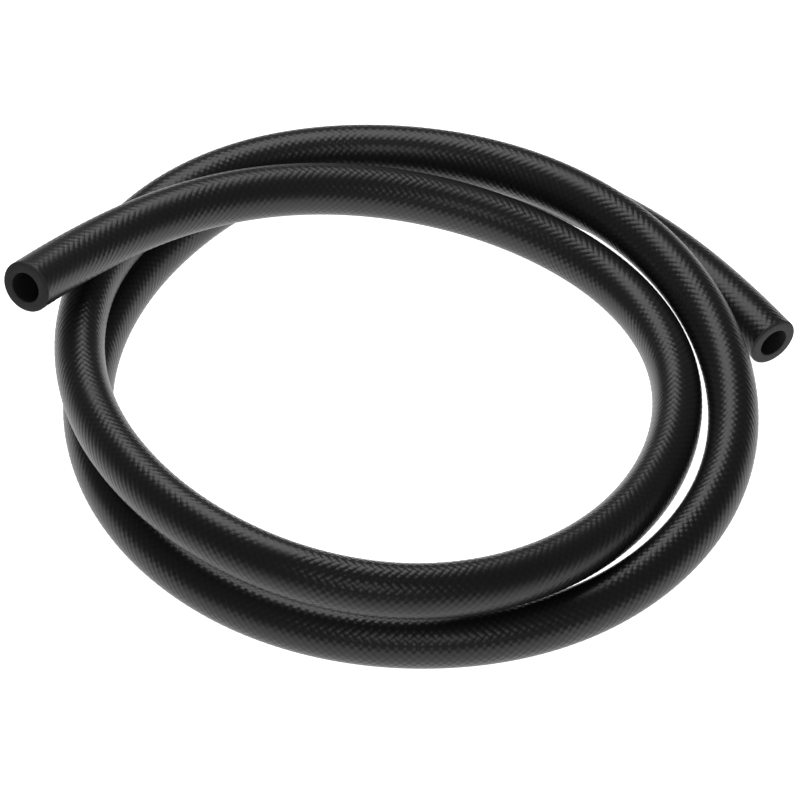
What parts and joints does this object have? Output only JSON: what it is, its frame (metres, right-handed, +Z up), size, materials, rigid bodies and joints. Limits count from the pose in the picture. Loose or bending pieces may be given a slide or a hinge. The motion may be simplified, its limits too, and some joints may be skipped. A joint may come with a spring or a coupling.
{
  "type": "fuel hose",
  "caption": "Length of black rubber fuel hose with a woven-looking cover and square-cut open ends, lying in a loose coil.",
  "frame": {"origin": "on the floor under the middle of the coil's box", "axes": "+Z up from the floor, -Y the way that end B's bore points out"},
  "size_m": [0.2302, 0.2294, 0.0616],
  "materials": {
    "cover_rubber": "satin black rubber with the fine imprint of a woven wrap, matte dark grey at the cut ends"
  },
  "bodies": {
    "root": {"hose": "cover_rubber"}
  },
  "joints": []
}
